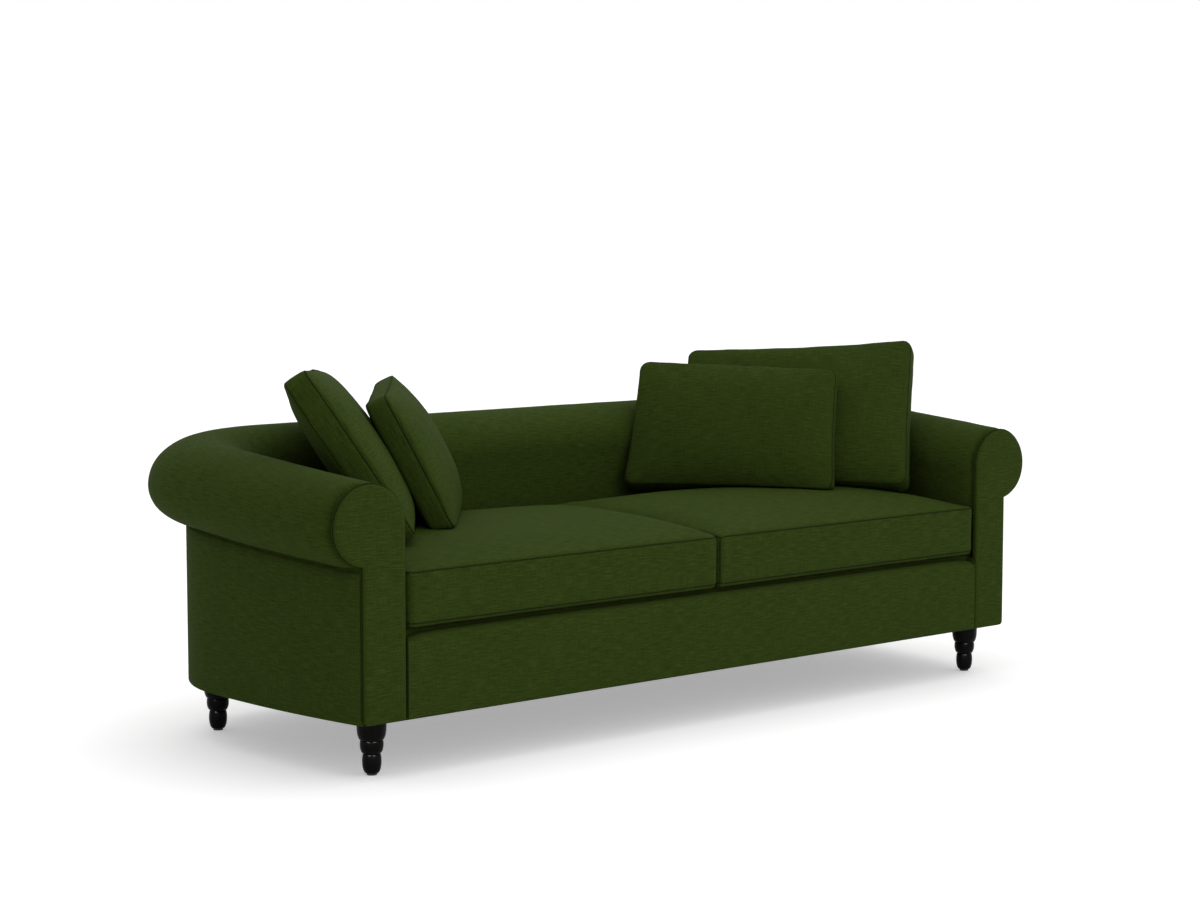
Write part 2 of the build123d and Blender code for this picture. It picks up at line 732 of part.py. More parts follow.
def pillow_solid(plane, width, height, box, front_crown, back_crown):
    """A boxed pillow: a loft with two crowned faces, trimmed to an outline with drawn-in edges."""
    half_width = width / 2
    half_height = height / 2
    loft_half_width = half_width + pillow_margin
    loft_half_height = half_height + pillow_margin
    sections = []
    for share in crown_shares:
        bulge = sin(pi * share)
        front_swell = box / 2 + pillow_edge_crown + (front_crown - pillow_edge_crown) * bulge
        back_swell = box / 2 + pillow_edge_crown + (back_crown - pillow_edge_crown) * bulge
        across = (2 * share - 1) * loft_half_width
        origin = plane.from_local_coords(Vector(across, 0, 0))
        with BuildSketch(Plane(origin=origin, x_dir=plane.y_dir, z_dir=plane.x_dir)) as section:
            with BuildLine():
                Line((-loft_half_height, -box / 2), (-loft_half_height, box / 2))
                ThreePointArc((-loft_half_height, box / 2), (0, front_swell), (loft_half_height, box / 2))
                Line((loft_half_height, box / 2), (loft_half_height, -box / 2))
                ThreePointArc((loft_half_height, -box / 2), (0, -back_swell), (-loft_half_height, -box / 2))
            make_face()
        sections.append(section.sketch)
    with BuildPart() as body:
        loft(sections)
        with BuildSketch(plane) as outline:
            with BuildLine():
                low_left = (-half_width, -half_height)
                low_right = (half_width, -half_height)
                high_right = (half_width, half_height)
                high_left = (-half_width, half_height)
                ThreePointArc(low_left, (0, -half_height + pillow_draw_in), low_right)
                ThreePointArc(low_right, (half_width - pillow_draw_in, 0), high_right)
                ThreePointArc(high_right, (0, half_height - pillow_draw_in), high_left)
                ThreePointArc(high_left, (-half_width + pillow_draw_in, 0), low_left)
            make_face()
            fillet(outline.vertices(), radius=pillow_corner_radius)
        extrude(amount=box / 2 + front_crown + pillow_margin, both=True, mode=Mode.INTERSECT)
    return body.part


def back_press():
    """The back roll drawn a little forward, to flatten the pillows that lean on it."""
    with BuildPart() as body:
        near_plane = section_plane((corner_x, seat_back - 2 * rest_gap), (0, 1))
        near_section = roll_section(near_plane, body_depth - seat_depth, back_crest, back_overhang)
        extrude(near_section, amount=2 * corner_x, dir=(-1, 0, 0))
    return body.part


large_angles = (large_turn_angle, large_lean_angle, large_tilt_angle)
small_angles = (small_turn_angle, small_lean_angle, small_tilt_angle)
large_plane = pillow_plane(large_from_arm, large_from_back, large_lift, large_angles, large_height, large_box)
small_plane = pillow_plane(small_from_arm, small_from_back, small_lift, small_angles, small_height, small_box)
with BuildPart() as large_pillow:
    add(pillow_solid(large_plane, large_width, large_height, large_box, large_front_crown, large_back_crown))
    add(cushion_solid(2 * rest_gap), mode=Mode.SUBTRACT)
    add(back_press(), mode=Mode.SUBTRACT)
save_pair(large_pillow, "large_pillow")

with BuildPart() as small_pillow:
    grown_width = large_width + 4 * rest_gap
    grown_height = large_height + 4 * rest_gap
    grown_box = large_box + 4 * rest_gap
    add(pillow_solid(small_plane, small_width, small_height, small_box, small_front_crown, small_back_crown))
    add(cushion_solid(2 * rest_gap), mode=Mode.SUBTRACT)
    add(back_press(), mode=Mode.SUBTRACT)
    add(
        pillow_solid(large_plane, grown_width, grown_height, grown_box, large_front_crown, large_back_crown),
        mode=Mode.SUBTRACT,
    )
save_pair(small_pillow, "small_pillow")
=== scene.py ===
# %% [markdown]
# # Dressing a rolled arm sofa
# The CAD model brings the timber frame, the sizes and the joints. This lesson puts the cloth on it:
# one long roll that runs round both arms and the back, the covers, the cushions and the pillows.
# Loading the frame first means that every later piece can be placed in the same metres.

# %% Load the frame
import json
import math
import bmesh
import bpy
import numpy as np
from mathutils import Matrix, Vector
from mathutils.bvhtree import BVHTree
from mathutils.kdtree import KDTree

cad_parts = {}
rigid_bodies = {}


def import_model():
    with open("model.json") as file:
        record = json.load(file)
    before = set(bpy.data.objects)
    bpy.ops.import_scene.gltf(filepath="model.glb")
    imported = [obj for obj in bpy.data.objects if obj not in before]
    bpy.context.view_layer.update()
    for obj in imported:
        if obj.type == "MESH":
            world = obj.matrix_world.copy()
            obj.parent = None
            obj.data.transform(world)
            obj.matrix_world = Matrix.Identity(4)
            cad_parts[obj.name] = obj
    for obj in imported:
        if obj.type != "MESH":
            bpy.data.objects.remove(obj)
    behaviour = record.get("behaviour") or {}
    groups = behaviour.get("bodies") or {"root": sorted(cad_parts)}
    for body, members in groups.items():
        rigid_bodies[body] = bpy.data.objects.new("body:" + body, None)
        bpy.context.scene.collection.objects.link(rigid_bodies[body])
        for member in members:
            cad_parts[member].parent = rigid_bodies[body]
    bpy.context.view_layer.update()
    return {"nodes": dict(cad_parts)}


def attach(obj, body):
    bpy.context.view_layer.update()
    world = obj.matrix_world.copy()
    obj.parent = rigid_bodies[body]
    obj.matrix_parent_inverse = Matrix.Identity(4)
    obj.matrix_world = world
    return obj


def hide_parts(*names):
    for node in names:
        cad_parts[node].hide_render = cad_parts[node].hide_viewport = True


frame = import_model()

# %% [markdown]
# ## Materials as sums
# A finish is easier to read as a formula than as a list of links. Two small classes do that: a
# `Value` is a socket that can be added and multiplied, and a `Recipe` adds any other node.


# %% A socket that does sums, and a recipe that holds the nodes
class Value:
    def __init__(self, recipe, socket):
        self.recipe, self.socket = recipe, socket

    def sum(self, operation, first, second=0.0):
        return self.recipe.node("ShaderNodeMath", {"operation": operation}, {0: first, 1: second})

    def __add__(self, other):
        return self.sum("ADD", self, other)

    def __sub__(self, other):
        return self.sum("SUBTRACT", self, other)

    def __rsub__(self, other):
        return self.sum("SUBTRACT", other, self)

    def __mul__(self, other):
        return self.sum("MULTIPLY", self, other)

    def sine(self):
        return self.sum("SINE", self)

    __radd__, __rmul__ = __add__, __mul__


class Recipe:
    def __init__(self, name, world=None):
        self.material = world or bpy.data.materials.new(name)
        self.material.use_nodes = True
        self.tree = self.material.node_tree
        self.tree.nodes.clear()

    def node(self, kind, settings=None, inputs=None, out=0):
        made = self.tree.nodes.new(kind)
        for name, value in (settings or {}).items():
            setattr(made, name, value)
        for key, value in (inputs or {}).items():
            if isinstance(value, Value):
                self.tree.links.new(value.socket, made.inputs[key])
            else:
                made.inputs[key].default_value = value
        return Value(self, made.outputs[out]) if made.outputs else None

    def streaks(self, place, scale, detail=2.0):
        wide = self.node("ShaderNodeVectorMath", {"operation": "MULTIPLY"}, {0: place, 1: scale})
        return self.node("ShaderNodeTexNoise", None, {"Vector": wide, "Scale": 1.0, "Detail": detail})

    def mix(self, factor, first, second):
        return self.node("ShaderNodeMix", {"data_type": "RGBA"}, {0: factor, 6: first, 7: second}, 2)

    def bump(self, height, strength, distance):
        return self.node("ShaderNodeBump", None, {
            "Strength": strength, "Distance": distance, "Height": height})

    def shade(self, sockets):
        shader = self.node("ShaderNodeBsdfPrincipled", None, sockets)
        self.node("ShaderNodeOutputMaterial", None, {"Surface": shader})
        return self.material


print("recipes ready")

# %% [markdown]
# ## The cloth
# The cover is a dark olive cloth with slubs: thick places in the yarn that show as short streaks
# along both directions of the weave. An image of cloth would tile and blur, so the streaks are
# noise, stretched along one axis at a time. Each piece carries a "cloth" attribute, which says
# where a point lies on its flat panel in metres, so the weave follows rolls and tilted pillows.


# %% Olive slub cloth
def slub_cloth(name, light, dark, coarse=1.0):
    cloth = Recipe(name)
    place = cloth.node("ShaderNodeAttribute", {"attribute_name": "cloth"}, None, "Vector")
    fine, long = 420 / coarse, 26 / coarse
    weft = cloth.streaks(place, (long, fine, 1))
    warp = cloth.streaks(place, (fine, long, 1))
    speck = cloth.streaks(place, (300 / coarse, 300 / coarse, 1), 3.0)
    rubbed = cloth.streaks(place, (6, 6, 1), 4.0)
    slub = weft * 0.5 + warp * 0.2 + speck * 0.3
    x = cloth.node("ShaderNodeSeparateXYZ", None, {0: place}, "X")
    y = cloth.node("ShaderNodeSeparateXYZ", None, {0: place}, "Y")
    turn = 2 * math.pi / (0.0021 * coarse)
    weave = ((x * turn).sine() + (y * turn).sine()) * 0.25 + 0.5
    tone = (slub - 0.5) * 3.6 + (rubbed - 0.5) * 0.2 + (weave - 0.5) * 0.4 + 0.5
    return cloth.shade({
        "Base Color": cloth.mix(tone, dark, light),
        "Roughness": 0.8 + 0.2 * slub,
        "Specular IOR Level": 0.04,
        "Normal": cloth.bump(slub * 0.7 + weave * 0.3, 0.5, 0.002),
    })


olive = slub_cloth("olive_slub_cloth", (0.0455, 0.0720, 0.0110, 1), (0.0195, 0.0325, 0.0042, 1))
# The seam cloth is the olive painted darker: painted shade that stands in for the shadow in the groove
# along each sewn seam.
seam_olive_painted_shade = slub_cloth("seam_cloth", (0.0200, 0.0310, 0.0060, 1), (0.0090, 0.0145, 0.0025, 1), 0.6)
# The welt cloth is painted darker as well: painted shade for the groove round each facing.
welt_olive_painted_shade = slub_cloth("welt_cloth", (0.0270, 0.0420, 0.0070, 1), (0.0120, 0.0195, 0.0028, 1), 0.6)
deck_olive = slub_cloth("deck_cloth", (0.0330, 0.0450, 0.0130, 1), (0.0170, 0.0240, 0.0060, 1), 1.6)
print("cloths", olive.name, seam_olive_painted_shade.name, welt_olive_painted_shade.name, deck_olive.name)

# %% [markdown]
# ## The hard finishes
# The legs are turned wood under black lacquer: nearly black, glossy, with faint brush marks.
# Timber, webbing and steel lie inside, but they are part of the object, so they get grain,
# stripes and scratches too.


# %% Lacquer, timber, webbing, steel and plastic
def grained(name, first, second, scale, rough, bump, **more):
    stuff = Recipe(name)
    place = stuff.node("ShaderNodeTexCoord", None, None, "Object")
    grain = stuff.streaks(place, scale, 5.0)
    cloud = stuff.streaks(place, (9, 9, 9), 3.0)
    tone = (grain - 0.5) * 2.2 + (cloud - 0.5) * 0.8 + 0.5
    return stuff.shade({
        "Base Color": stuff.mix(tone, second, first),
        "Roughness": rough[0] + (rough[1] - rough[0]) * grain,
        "Normal": stuff.bump(grain, bump, 0.0008),
        **more,
    })


lacquer = grained("black_lacquer", (0.0052, 0.0054, 0.0046, 1), (0.0024, 0.0025, 0.0022, 1),
                  (160, 160, 30), (0.20, 0.32), 0.06, **{"Specular IOR Level": 0.04})
timber = grained("pale_timber", (0.52, 0.36, 0.20, 1), (0.34, 0.21, 0.10, 1), (8, 130, 130),
                 (0.55, 0.75), 0.25)
webbing = grained("jute_webbing", (0.36, 0.26, 0.13, 1), (0.20, 0.14, 0.07, 1), (420, 420, 60),
                  (0.8, 0.95), 0.5)
black_cloth = grained("dust_cloth", (0.030, 0.030, 0.030, 1), (0.014, 0.014, 0.014, 1),
                      (900, 900, 900), (0.85, 1.0), 0.35)
steel = grained("zinc_steel", (0.62, 0.62, 0.63, 1), (0.42, 0.42, 0.44, 1), (300, 300, 40),
                (0.28, 0.5), 0.1, Metallic=1.0)
plastic = grained("glide_plastic", (0.035, 0.033, 0.030, 1), (0.018, 0.017, 0.016, 1),
                  (500, 500, 500), (0.4, 0.6), 0.15)
print("hard finishes", [m.name for m in (lacquer, timber, webbing, black_cloth, steel, plastic)])

# %% [markdown]
# ## The plan of the sofa
# Seen from above the arms bow out towards the back and turn into it in two round corners. The roll
# swells on the way, so every station on the line has its own place, depth, crest and overhang.
# The same few numbers as in the CAD source give them, and the left half is the right one mirrored.
# The last value is only here: in the photo the seam under the roll rises towards the back, which
# keeps the roll slim at the corner, and in the CAD source that seam is level.

# %% Stations from the arm's front to the middle of the back
front, bow_y, inside_half = -0.4985, 0.0615, 0.950
bottom, roll_seat, deck_top = 0.130, 0.484, 0.338
corner_x, corner_radius = 0.790, 0.340
corner_centre = Vector((corner_x, bow_y))
seat_corner, seat_centre = 0.175, Vector((0.775, bow_y))
side_radius, widest_x, swell_from = 2.73245, 1.130, 0.4665
back_inside_y, back_depth = 0.2365, 0.165
crest_front, crest_bow, crest_back = 0.675, 0.713, 0.731
overhang_front, overhang_bow, overhang_back = 0.076, 0.072, 0.097
rise_bow, rise_back = 0.036, 0.052


def outside_x(y):
    return widest_x - side_radius + math.sqrt(side_radius ** 2 - (y - bow_y) ** 2)


def side_station(y):
    part = min(1.0, max(0.0, (y + swell_from) / (bow_y + swell_from)))
    return (Vector((inside_half, y)), Vector((1, 0)), outside_x(y) - inside_half,
            crest_front + (crest_bow - crest_front) * part,
            overhang_front + (overhang_bow - overhang_front) * part, rise_bow * part ** 1.1)


def corner_station(degrees):
    angle = math.radians(degrees)
    outward = Vector((math.cos(angle), math.sin(angle)))
    shift = corner_centre - seat_centre
    along = shift.dot(outward)
    reach = math.sqrt(along ** 2 - shift.dot(shift) + seat_corner ** 2) - along
    part = min(1.0, degrees / 50)
    return (corner_centre + outward * reach, outward, corner_radius - reach,
            crest_bow + (crest_back - crest_bow) * math.sin(angle),
            overhang_bow + (overhang_back - overhang_bow) * (3 * part ** 2 - 2 * part ** 3),
            rise_bow + (rise_back - rise_bow) * math.sin(angle))


def back_station(x):
    return Vector((x, back_inside_y)), Vector((0, 1)), back_depth, crest_back, overhang_back, rise_back


cover_front = front + 0.0115
right_half = [side_station(cover_front + (bow_y - cover_front) * i / 16) for i in range(16)]
right_half += [corner_station(5 * i) for i in range(19)]
right_half += [back_station(corner_x * (1 - i / 14)) for i in range(1, 15)]


def mirrored(station):
    place, outward, *rest = station
    return (Vector((-place.x, place.y)), Vector((-outward.x, outward.y)), *rest)


whole_line = [mirrored(s) for s in right_half] + right_half[-2::-1]
print(len(whole_line), "stations round the sofa")

# %% [markdown]
# ## Drawing out a form
# Most pieces here have a section that changes along a line. By hand one would add a circle, shape
# it as the first section, and extrude and reshape it again and again. `draw_out` does that, then
# fills both ends. It also writes the "cloth" attribute: the length round the section and the
# length along the line.


# %% Helpers: select one object, draw out a form, apply modifiers
def only(piece):
    if bpy.context.object and bpy.context.object.mode != "OBJECT":
        bpy.ops.object.mode_set(mode="OBJECT")
    bpy.ops.object.select_all(action="DESELECT")
    piece.select_set(True)
    bpy.context.view_layer.objects.active = piece


def write_cloth(piece, places):
    layers = piece.data.attributes
    layer = layers.get("cloth") or layers.new("cloth", "FLOAT_VECTOR", "POINT")
    layer.data.foreach_set("vector", [value for place in places for value in place])


def panel_cloth(piece):
    """The two coordinates along the side that a point faces, as if each panel were cut flat."""
    places = []
    for vertex in piece.data.vertices:
        x, y, z = vertex.co
        side = max(range(3), key=lambda axis: abs(vertex.normal[axis]))
        places.append(((y, z, 0.0), (x, z, 0.0), (x, y, 0.0))[side])
    write_cloth(piece, places)


def lengths(points):
    total, out = 0.0, [0.0]
    for a, b in zip(points, points[1:]):
        total += (b - a).length
        out.append(total)
    return out


def outward_faces(piece):
    only(piece)
    bpy.ops.object.mode_set(mode="EDIT")
    bpy.ops.mesh.select_all(action="SELECT")
    bpy.ops.mesh.normals_make_consistent(inside=False)
    bpy.ops.object.mode_set(mode="OBJECT")


def draw_out(name, rings):
    count = len(rings[0])
    bpy.ops.object.select_all(action="DESELECT")
    bpy.ops.mesh.primitive_circle_add(vertices=count, fill_type="NOTHING")
    piece = bpy.context.object
    piece.name = piece.data.name = name
    for vertex, point in zip(piece.data.vertices, rings[0]):
        vertex.co = point
    places = list(range(count))
    bpy.ops.object.mode_set(mode="EDIT")
    bpy.ops.mesh.select_all(action="SELECT")
    bpy.ops.mesh.edge_face_add()
    for number, ring in enumerate(rings[1:], 1):
        if number == 1:
            bpy.ops.mesh.select_all(action="SELECT")
        before = len(places)
        bpy.ops.mesh.extrude_region_move()
        mesh = bmesh.from_edit_mesh(piece.data)
        mesh.verts.ensure_lookup_table()
        for vertex in mesh.verts[before:]:
            beside = (edge.other_vert(vertex).index for edge in vertex.link_edges)
            old = next(index for index in beside if index < before)
            places.append(places[old])
            vertex.co = ring[places[old] % count]
    bpy.ops.object.mode_set(mode="OBJECT")
    across = lengths(rings[len(rings) // 2])
    along = lengths([ring[count // 2] for ring in rings])
    write_cloth(piece, [(along[i // count], across[p], 0.0) for i, p in enumerate(places)])
    outward_faces(piece)
    return piece


def apply_all(piece):
    only(piece)
    for modifier in list(piece.modifiers):
        bpy.ops.object.modifier_apply(modifier=modifier.name)
    return piece


def smoothed(piece, levels=1, sharp=None):
    """Subdivide, then shade smooth; edges that turn by more than sharp degrees stay edges."""
    if levels:
        step = piece.modifiers.new("round", "SUBSURF")
        step.levels = step.render_levels = levels
    apply_all(piece)
    bpy.ops.object.shade_smooth()
    if sharp:
        bpy.ops.object.shade_smooth_by_angle(angle=math.radians(sharp))
    return piece


def dress(piece, material, body, slot, *nodes):
    piece.data.materials.clear()
    piece.data.materials.append(material)
    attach(piece, body)
    if nodes:
        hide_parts(*nodes)
    print(piece.name, len(piece.data.vertices), "points, rides", body)
    return piece


print("helpers ready")

# %% [markdown]
# ## The roll and the inside cover
# On the real sofa one length of cloth comes up from the seat, goes over the stuffed roll and is
# tucked in under it on the outside. So it is one piece here: a lip that hangs behind the cushions,
# up the inside, over in a half oval and back in along an arc. Sweeping one fixed section would keep
# it the same all round, but this roll grows from the arms to the back, so each station gets a
# section of its own.


# %% One section of the roll
def arc(centre, radius, start, end, count, tall=None):
    tall = radius if tall is None else tall
    turns = [math.radians(start + (end - start) * i / count) for i in range(count)]
    return [Vector((centre[0] + radius * math.cos(turn), centre[1] + tall * math.sin(turn)))
            for turn in turns]


def run(a, b, count):
    return [Vector(a).lerp(Vector(b), i / count) for i in range(count)]


cover_proud = 0.0008


def roll_section(depth, crest, overhang, rise):
    pad, low, width = 0.045, deck_top - 0.006, depth + overhang
    lip, hem = 0.003, low - 0.016
    radius, seat = width / 2, roll_seat + rise
    level = crest - radius + 0.45 * rise
    drop = level - seat
    under = (overhang ** 2 + drop ** 2) / (2 * overhang)
    last = math.degrees(math.atan2(-drop, depth - width + under))
    points = run((pad, low), (lip, low), 3) + run((lip, low), (lip, hem), 2)
    points += run((lip, hem), (0, hem), 1) + run((0, hem), (0, level), 17)
    points += arc((radius, level), radius + cover_proud, 180, 0, 28, crest - level + cover_proud)
    points += arc((width - under, level), under + cover_proud, 0, last, 15)
    points += run((depth, seat), (pad, seat), 6) + run((pad, seat), (pad, low), 6)
    return points


def at_station(station, section):
    place, outward = station[0], station[1]
    flat = [place + outward * p.x for p in section]
    return [Vector((f.x, f.y, p.y)) for f, p in zip(flat, section)]


print("roll section of", len(roll_section(*whole_line[0][2:])), "points")

# %% Draw the roll round the sofa
roll = draw_out("roll_and_inside_cover", [at_station(s, roll_section(*s[2:])) for s in whole_line])
soft = bpy.data.textures.new("stuffing", "CLOUDS")
soft.noise_scale = 0.16


def uneven(piece, amount):
    """Stuffing is never quite even: raise and lower the cloth by a little, over a hand's width."""
    step = piece.modifiers.new("stuffing", "DISPLACE")
    step.texture, step.texture_coords = soft, "LOCAL"
    step.strength, step.mid_level = amount, 0.5
    return apply_all(piece)


uneven(smoothed(roll), 0.003)
dress(roll, olive, "sofa_frame", "upholstery", "arm_roll_left", "arm_roll_right", "back_roll",
      "inside_arm_left", "inside_arm_right", "inside_back")

# %% [markdown]
# ## The outside cover
# Below the roll a flat panel is stretched round the outside and turned under the bottom rail.
# It could be three panels, but in the photo it is one smooth surface, so it is drawn along the
# same stations. A round bottom edge and a top edge turned in under the roll make it look sewn.


# %% Draw the outside cover
def panel_section(depth, rise):
    top, edge = roll_seat + rise - 0.0006, 0.007
    face, back = depth + cover_proud, depth - 0.010
    tuck, bend, flat = (depth - 0.007, top), (depth - 0.005, top - 0.006), (face, top - 0.013)
    points = run(tuck, bend, 2) + run(bend, flat, 3) + run(flat, (face, bottom + edge), 17)
    points += arc((face - edge, bottom + edge), edge, 0, -90, 4)
    points += run((depth - edge, bottom), (back, bottom), 2)
    points += run((back, bottom), (back, top), 10) + run((back, top), tuck, 2)
    return points


outside = draw_out("outside_cover", [at_station(s, panel_section(s[2], s[5])) for s in whole_line])
smoothed(outside, 0, sharp=50)
dress(outside, olive, "sofa_frame", "upholstery",
      "outside_arm_left", "outside_arm_right", "outside_back")

# %% [markdown]
# ## The arm facings
# A padded board closes each roll at the front. Its outline is the roll's own section with the
# post below it. The face is extruded from that outline, then inset and pushed forward in steps,
# which gives a soft edge, and a thin welt is sewn round it, down to the foot on both sides.


# %% Outline of a facing, and its cover
def facing_outline(inset):
    width, radius, level, post = 0.198, 0.099, 0.576, 0.122
    overhang, drop = 0.076, 0.092
    under = (overhang ** 2 + drop ** 2) / (2 * overhang)
    side, low, turn, nick = post - inset, bottom + 0.3 * inset, 0.010, 0.003
    reach = side - (width - under)
    last = math.degrees(math.atan2(-math.sqrt((under - inset) ** 2 - reach ** 2), reach))
    tuck = level + (under - inset) * math.sin(math.radians(last))
    points = run((inset, low + nick), (inset, level), 30)
    points += arc((radius, level), radius - inset, 180, 0, 40)
    points += arc((width - under, level), under - inset, 0, last, 20)
    points += run((side, tuck), (side, low + turn), 24)
    points += arc((side - turn, low + turn), turn, 0, -90, 6)
    points += run((side - turn, low), (inset + nick, low), 10)
    points += run((inset + nick, low), (inset, low + nick), 1)
    return [Vector((inside_half + p.x, p.y)) for p in points]


def facing_ring(inset, y):
    return [Vector((p.x, y, p.y)) for p in facing_outline(inset)]


facing_steps = ((0.0060, 0.0140), (0.0045, 0.0105), (0.0036, 0.0062), (0.0044, 0.0034),
                (0.0070, 0.0016), (0.0115, 0.0006), (0.0180, 0.0))
facing = draw_out("facing_cover_right",
                  [facing_ring(inset, front + back) for inset, back in facing_steps])
panel_cloth(facing)
smoothed(facing, 0)
print(facing.name, len(facing.data.vertices), "points")


# %% The welt round it, and both on the left as well
def sewn_line(name, points, radius, closed=True):
    line = bpy.data.curves.new(name, "CURVE")
    line.dimensions, line.bevel_depth, line.bevel_resolution = "3D", radius, 2
    spline = line.splines.new("POLY")
    spline.points.add(len(points) - 1)
    for knot, point in zip(spline.points, points):
        knot.co = (*point, 1)
    spline.use_cyclic_u, line.use_fill_caps = closed, not closed
    piece = bpy.data.objects.new(name, line)
    bpy.context.collection.objects.link(piece)
    only(piece)
    bpy.ops.object.convert(target="MESH")
    piece = bpy.context.object
    panel_cloth(piece)
    bpy.ops.object.shade_smooth()
    return piece


def left_copy(piece, name):
    copy = piece.copy()
    copy.data = piece.data.copy()
    copy.name = copy.data.name = name
    bpy.context.collection.objects.link(copy)
    for vertex in copy.data.vertices:
        vertex.co.x = -vertex.co.x
    copy.data.flip_normals()
    return copy


welt_radius, welt_part = 0.0019, slice(1, 115)
welt_path = facing_ring(welt_radius, front + 0.0095)[welt_part]
welt = sewn_line("facing_welt_line_right", welt_path, welt_radius, False)
# The welt takes the cloth painted darker, painted shade for the groove beside it.
for piece, material, slot, node in ((facing, olive, "upholstery", "arm_facing"),
                                    (welt, welt_olive_painted_shade, "welt", "facing_welt")):
    other = left_copy(piece, piece.name.replace("right", "left"))
    dress(piece, material, "sofa_frame", slot, node + "_right")
    dress(other, material, "sofa_frame", slot, node + "_left")
    if piece is facing:
        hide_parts("facing_board_right")
        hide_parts("facing_board_left")

# %% [markdown]
# ## The front border and the deck
# Under the cushions a padded border crosses the front from facing to facing, round at its top
# edge. Behind it lies the deck, the flat cloth that carries the cushions.


# %% Front border
def border_ring(x, end):
    """Near the facings the top drops a little, as it does where cloth is pulled into a corner."""
    drop = 0.012 * math.exp(-end / 0.030) * min(1.0, end / 0.003)
    top, lip, back, ledge = 0.326 - drop, 0.3306, front + 0.032, front + 0.028
    edge, hem = 0.020, 0.008
    points = run((back, lip), (ledge, top), 2) + run((ledge, top), (front + edge, top), 2)
    points += arc((front + edge, top - edge), edge, 90, 180, 9)
    points += run((front, top - edge), (front, bottom + hem), 14)
    points += arc((front + hem, bottom + hem), hem, 180, 270, 5)
    points += run((front + hem, bottom), (back, bottom), 4) + run((back, bottom), (back, top), 8)
    return [Vector((x, p.x, p.y)) for p in points]


half_border = 0.9494
steps = [0, 0.003, 0.007, 0.013, 0.022, 0.036]
steps += [0.06 + (half_border - 0.06) * i / 12 for i in range(12)]
places = [-half_border + s for s in steps] + [0.0] + [half_border - s for s in reversed(steps)]
border = draw_out("front_border_cover", [border_ring(x, half_border - abs(x)) for x in places])
panel_cloth(border)
smoothed(border, 0, sharp=50)
dress(border, olive, "sofa_frame", "upholstery", "front_border")


# %% Deck
def round_plan(near, far, left, right, radius, count=14):
    """The seat's plan from the front left, anticlockwise: square in front, round behind."""
    points = [Vector((left, near)), Vector((right, near))]
    points += arc((right - radius, far - radius), radius, 0, 90, count)
    points += arc((left + radius, far - radius), radius, 90, 180, count)
    return points


def even(points, count):
    """The closed outline again, as count points at even distances."""
    closed = points + points[:1]
    far, out, at = lengths(closed), [], 0
    for i in range(count):
        want = far[-1] * i / count
        while far[at + 1] < want:
            at += 1
        part = (want - far[at]) / max(1e-9, far[at + 1] - far[at])
        out.append(closed[at].lerp(closed[at + 1], part))
    return out


seat_far, seat_round, deck_low, deck_ahead = 0.2335, 0.172, 0.3310, 0.13
deck_line = even(round_plan(front + 0.0305, seat_far, -half_border, half_border, seat_round), 160)


def deck_ring(scale, z):
    return [Vector((p.x * scale, -deck_ahead + (p.y + deck_ahead) * scale, z)) for p in deck_line]


deck = draw_out("deck_cover", [deck_ring(scale, z) for scale, z in (
    (0.02, deck_low), (0.5, deck_low), (0.996, deck_low), (1.0, 0.3340), (0.998, 0.3370),
    (0.99, deck_top), (0.5, deck_top), (0.02, deck_top))])
panel_cloth(deck)
smoothed(deck, 0)
dress(deck, deck_olive, "sofa_frame", "deck_cloth", "deck_pad")

# %% [markdown]
# ## Swelling a pad
# A stuffed cushion is a cloth bag under pressure, held at its seams. Blender can play that: the
# pad is remeshed to even squares, the points near a seam are held, and a few frames of Cloth with
# pressure push the panels out. The movement is capped, so that the pad keeps its size.


# %% Swell a pad, draw its seams in, and find places on its skin
def near_tree(loops):
    points = [p for loop in loops for p in loop]
    tree = KDTree(len(points))
    for i, point in enumerate(points):
        tree.insert(point, i)
    tree.balance()
    return tree


def swell(pad, voxel, loops, most):
    frames = 20
    only(pad)
    pad.data.remesh_voxel_size = voxel
    bpy.ops.object.voxel_remesh()
    start = [v.co.copy() for v in pad.data.vertices]
    held = pad.vertex_groups.new(name="held")
    held_name = held.name
    seams = near_tree(loops)
    for vertex in pad.data.vertices:
        held.add([vertex.index], max(0.0, 1 - seams.find(vertex.co)[2] / (2.2 * voxel)), "REPLACE")
    cloth = pad.modifiers.new("swell", "CLOTH")
    cloth.settings.use_pressure = True
    cloth.settings.uniform_pressure_force = 4.0
    cloth.settings.effector_weights.gravity = 0
    cloth.settings.vertex_group_mass = held_name
    cloth.settings.quality = 4
    cloth.point_cache.frame_start, cloth.point_cache.frame_end = 1, frames
    for number in range(1, frames + 1):
        bpy.context.scene.frame_set(number)
    bpy.ops.object.modifier_apply(modifier=cloth.name)
    bpy.context.scene.frame_set(1)
    pad.vertex_groups.remove(pad.vertex_groups[held_name])
    for vertex, old in zip(pad.data.vertices, start):
        move = vertex.co - old
        if move.length > 1e-6:
            vertex.co = old + move.normalized() * most * math.tanh(move.length / most)
    return pad


def draw_in(pad, loops, depth, width):
    seams = near_tree(loops)
    moves = []
    for vertex in pad.data.vertices:
        gap = seams.find(vertex.co)[2]
        near = gap < 3 * width
        moves.append(vertex.normal * depth * math.exp(-(gap / width) ** 2) if near else None)
    for vertex, move in zip(pad.data.vertices, moves):
        if move:
            vertex.co -= move


def surface(piece):
    return BVHTree.FromPolygons([vertex.co for vertex in piece.data.vertices],
                                [polygon.vertices for polygon in piece.data.polygons])


def onto(tree, loop):
    return [tree.find_nearest(p)[0] for p in loop]


print("swelling ready")

# %% [markdown]
# ## The seat cushions
# Two boxed cushions share the seat. Each has a flat bottom, a boxing band between two sewn seams,
# and a domed top that falls to all four sides. Its rear outer corner is round, to fit the back.
# It starts a little low and the swelling raises the dome.

